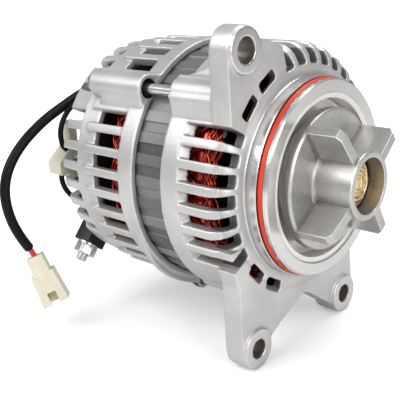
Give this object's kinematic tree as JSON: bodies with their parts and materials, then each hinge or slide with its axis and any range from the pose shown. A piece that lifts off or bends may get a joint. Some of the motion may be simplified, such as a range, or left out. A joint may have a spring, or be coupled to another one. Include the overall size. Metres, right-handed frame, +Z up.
{
  "type": "motorcycle alternator",
  "caption": "Flange mounted motorcycle alternator with a vaned drive coupler, finned aluminium end housings, showing stator core, output stud and trailing sense lead.",
  "frame": {"origin": "on the shaft axis, in the plane of the machined ear faces that bolt to the engine case", "axes": "+X along the shaft, out of the drive coupler; +Z up, towards the single top ear; -Y is the side that carries the output stud"},
  "size_m": [0.1542, 0.153, 0.1522],
  "materials": {
    "cast_aluminium": "satin cast",
    "machined_steel": "turned",
    "zinc_plated_steel": "bright zinc",
    "laminated_steel": "bare laminations",
    "forged_iron": "oiled",
    "enamelled_copper": "red varnish",
    "black_plastic": "moulded",
    "cream_plastic": "moulded",
    "black_rubber": "matt",
    "orange_rubber": "matt",
    "red_insulation": "smooth",
    "yellow_brass": "passivated",
    "carbon": "matt",
    "coupler_steel": "fine cast"
  },
  "bodies": {
    "frame": {"drive_end_housing": "cast_aluminium", "slip_ring_end_housing": "cast_aluminium", "stator_core": "laminated_steel", "stator_winding": "enamelled_copper", "spigot_seal_ring": "orange_rubber", "through_bolts": "zinc_plated_steel", "front_bearing_outer": "machined_steel", "bearing_retainer": "machined_steel", "retainer_screws": "zinc_plated_steel", "oil_seal": "black_rubber", "rear_bearing_outer": "machined_steel", "brush_holder": "black_plastic", "inner_brush_spring": "zinc_plated_steel", "outer_brush_spring": "zinc_plated_steel", "rectifier_negative_plate": "cast_aluminium", "rectifier_positive_plate": "cast_aluminium", "rectifier_diodes": "black_plastic", "plate_spacers": "black_plastic", "voltage_regulator": "black_plastic", "regulator_screws": "zinc_plated_steel", "output_insulator": "black_plastic", "output_stud": "zinc_plated_steel", "output_washer": "zinc_plated_steel", "output_nut": "zinc_plated_steel", "output_busbar": "yellow_brass", "lead_grommet": "black_rubber", "main_lead_sleeve": "black_rubber", "connector_wires": "red_insulation", "lead_connector": "cream_plastic", "connector_terminals": "yellow_brass", "upper_sense_lead": "black_rubber", "lower_sense_lead": "black_rubber", "sense_connector": "cream_plastic"},
    "rotor": {"rotor_shaft": "machined_steel", "front_claw_pole": "forged_iron", "rear_claw_pole": "forged_iron", "field_bobbin": "black_plastic", "field_coil": "enamelled_copper", "front_fan": "machined_steel", "rear_fan": "machined_steel", "slip_ring_core": "black_plastic", "slip_rings": "yellow_brass", "drive_coupler": "coupler_steel", "coupler_washer": "yellow_brass", "coupler_nut": "yellow_brass", "front_bearing_inner": "machined_steel", "rear_bearing_inner": "machined_steel"},
    "front_balls": {"front_bearing_balls": "machined_steel"},
    "rear_balls": {"rear_bearing_balls": "machined_steel"},
    "inner_brush_body": {"inner_brush": "carbon"},
    "outer_brush_body": {"outer_brush": "carbon"}
  },
  "joints": [
    {"name": "rotor_spin", "type": "hinge", "parent": "frame", "child": "rotor", "pos_m": [-0.0455, 0, 0], "axis": [1, 0, 0], "continuous": true},
    {"name": "front_balls_spin", "type": "hinge", "parent": "frame", "child": "front_balls", "pos_m": [-0.0105, 0, 0], "axis": [1, 0, 0], "continuous": true},
    {"name": "rear_balls_spin", "type": "hinge", "parent": "frame", "child": "rear_balls", "pos_m": [-0.101, 0, 0], "axis": [1, 0, 0], "continuous": true},
    {"name": "inner_brush_slide", "type": "slide", "parent": "frame", "child": "inner_brush_body", "axis": [0, 0, -1], "range_m": [0, 0.004], "stiffness_N_per_m": 250, "springref_m": -0.01, "deforming": ["inner_brush_spring"]},
    {"name": "outer_brush_slide", "type": "slide", "parent": "frame", "child": "outer_brush_body", "axis": [0, 0, -1], "range_m": [0, 0.004], "stiffness_N_per_m": 250, "springref_m": -0.01, "deforming": ["outer_brush_spring"]}
  ],
  "couplings": [
    {"joint": "front_balls_spin", "follows": "rotor_spin", "ratio": 0.3625},
    {"joint": "rear_balls_spin", "follows": "rotor_spin", "ratio": 0.3667}
  ]
}
